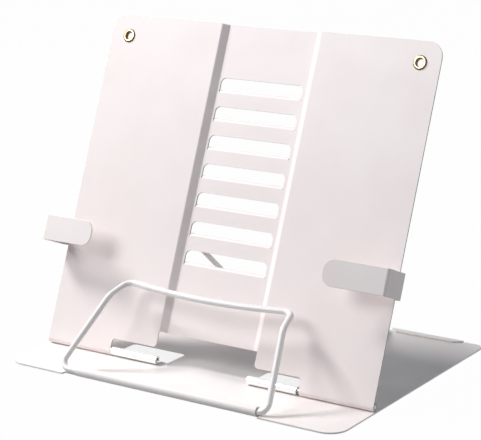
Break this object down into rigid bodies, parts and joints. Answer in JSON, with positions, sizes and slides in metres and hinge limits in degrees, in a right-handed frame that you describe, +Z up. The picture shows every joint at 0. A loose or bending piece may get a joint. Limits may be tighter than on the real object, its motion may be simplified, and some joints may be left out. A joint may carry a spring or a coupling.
{
  "type": "book stand",
  "caption": "Folding book stand of white painted sheet steel with a hinged ledged back panel, a wire prop, a wire page bail and sliding page clips.",
  "frame": {"origin": "centre of the base plate's underside, on the surface that the stand rests on", "axes": "+X to the reader's right, +Y to the rear, +Z up"},
  "size_m": [0.2507, 0.1906, 0.2061],
  "materials": {
    "base_paint": "glossy white powder coat",
    "panel_paint": "satin white powder coat",
    "leaf_paint": "glossy white powder coat",
    "guide_paint": "satin white powder coat",
    "clip_paint": "satin white powder coat",
    "wire_paint": "glossy white coat on wire",
    "pin_steel": "plain steel wire",
    "eyelet_brass": "polished brass"
  },
  "bodies": {
    "base": {"base_plate": "base_paint", "hinge_leaf_left": "leaf_paint", "hinge_leaf_right": "leaf_paint", "hinge_pin_left": "pin_steel", "hinge_pin_right": "pin_steel"},
    "panel": {"back_panel": "panel_paint", "guide_left_outer": "guide_paint", "guide_left_inner": "guide_paint", "guide_right_outer": "guide_paint", "guide_right_inner": "guide_paint", "eyelet_left": "eyelet_brass", "eyelet_right": "eyelet_brass", "eyelet_washer_left": "eyelet_brass", "eyelet_washer_right": "eyelet_brass"},
    "bail": {"page_bail": "wire_paint"},
    "prop": {"rear_prop": "wire_paint"},
    "left_clip": {"clip_left": "clip_paint"},
    "right_clip": {"clip_right": "clip_paint"}
  },
  "joints": [
    {"name": "panel_tilt", "type": "hinge", "parent": "base", "child": "panel", "pos_m": [0, -0.05095, 0.00395], "axis": [1, 0, 0], "range_deg": [0, 10.4]},
    {"name": "prop_swing", "type": "hinge", "parent": "base", "child": "prop", "pos_m": [0, 0.08825, 0.00285], "axis": [1, 0, 0], "range_deg": [0, 4.7]},
    {"name": "bail_swing", "type": "hinge", "parent": "base", "child": "bail", "pos_m": [0, -0.09215, 0.0031], "axis": [1, 0, 0], "range_deg": [0, 120]},
    {"name": "clip_left_slide", "type": "slide", "parent": "panel", "child": "left_clip", "axis": [-1, 0, 0], "range_m": [-0.0085, 0.0115]},
    {"name": "clip_right_slide", "type": "slide", "parent": "panel", "child": "right_clip", "axis": [1, 0, 0], "range_m": [0, 0.02]}
  ],
  "couplings": [
    {"joint": "prop_swing", "follows": "panel_tilt", "ratio": 0.45}
  ]
}
